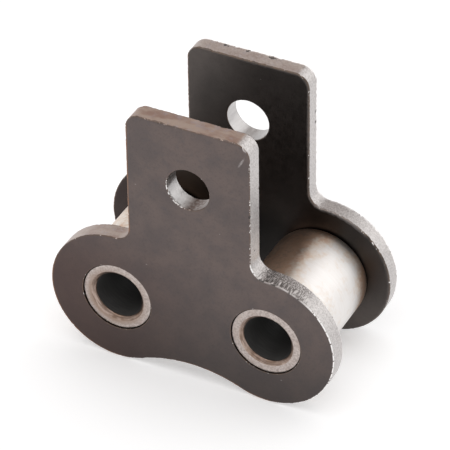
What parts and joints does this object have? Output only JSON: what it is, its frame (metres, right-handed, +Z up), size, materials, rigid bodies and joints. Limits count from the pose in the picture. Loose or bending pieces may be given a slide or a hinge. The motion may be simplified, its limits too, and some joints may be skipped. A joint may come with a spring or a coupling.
{
  "type": "chain attachment link",
  "caption": "Roller link of a drive chain whose side plates rise into straight drilled tabs for bolting on carriers; free-turning rollers ride on bushings pressed into the plates.",
  "frame": {"origin": "centre of the link in plan, at the bottom of the lobes that it stands on", "axes": "+X along the chain from the left to the right bushing axis, +Y across the chain from the front to the rear plate, along the bushing axes, +Z up towards the ends of the tabs"},
  "size_m": [0.0362, 0.0176, 0.0349],
  "materials": {
    "plate": "satin, blued brown-black by heat treatment, with bare bright edges",
    "bushing": "fine-grained matt steel with a brown heat tint in the bore mouth",
    "roller": "bright satin steel"
  },
  "bodies": {
    "link": {"front_plate": "plate", "rear_plate": "plate", "left_bushing": "bushing", "right_bushing": "bushing"},
    "left_roller": {"left_roller": "roller"},
    "right_roller": {"right_roller": "roller"}
  },
  "joints": [
    {"name": "left_roller_spin", "type": "hinge", "parent": "link", "child": "left_roller", "pos_m": [-0.00953, 0, 0.00855], "axis": [0, 1, 0], "continuous": true},
    {"name": "right_roller_spin", "type": "hinge", "parent": "link", "child": "right_roller", "pos_m": [0.00953, 0, 0.00855], "axis": [0, 1, 0], "continuous": true}
  ]
}
